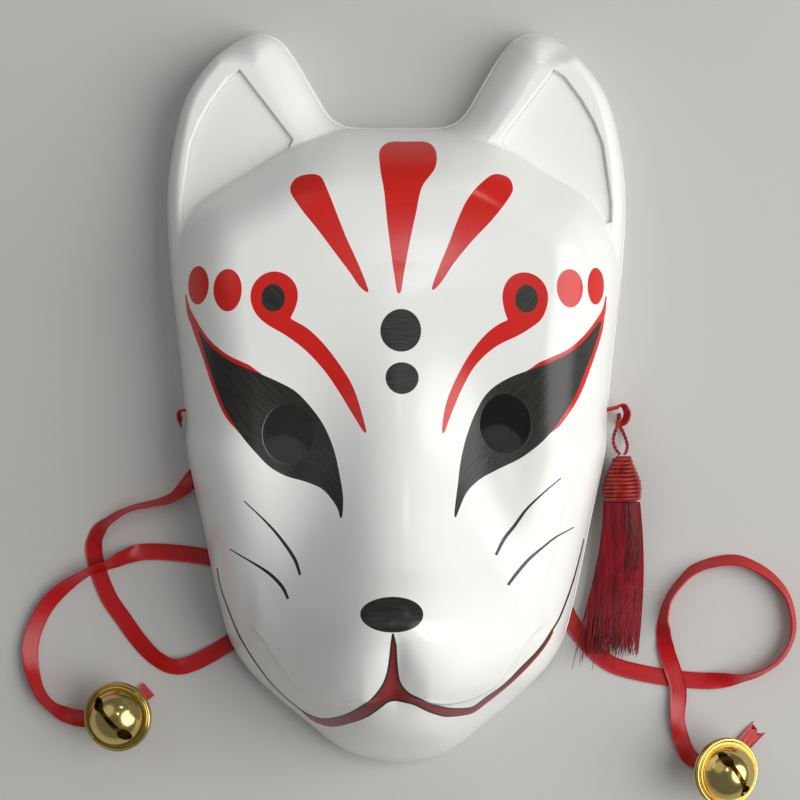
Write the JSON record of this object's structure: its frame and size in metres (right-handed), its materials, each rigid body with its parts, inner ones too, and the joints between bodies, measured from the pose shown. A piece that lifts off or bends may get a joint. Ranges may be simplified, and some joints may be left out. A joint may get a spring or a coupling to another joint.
{
  "type": "kitsune mask",
  "caption": "Moulded full-face fox mask with painted eyes, mouth and forehead marks, side ribbons that end in jingle bells, and a tassel at one tie.",
  "frame": {"origin": "on the floor under the middle of the mask, which lies on its rim with its face up", "axes": "+Z out of the face, +Y towards the ears, +X towards the side with the tassel"},
  "size_m": [0.2823, 0.2791, 0.0864],
  "materials": {
    "shell": "glossy white moulded plastic with hand-painted red and black marks",
    "ribbon": "red satin ribbon",
    "bell": "polished brass",
    "tassel": "crimson silk thread"
  },
  "bodies": {
    "root": {"mask": "shell", "ribbon_left": "ribbon", "ribbon_right": "ribbon", "left_bell_front": "bell", "left_bell_back": "bell", "left_bell_loop": "bell", "right_bell_front": "bell", "right_bell_back": "bell", "right_bell_loop": "bell", "tassel_head": "tassel", "tassel_skirt": "tassel", "tassel_cord": "tassel"}
  },
  "joints": []
}
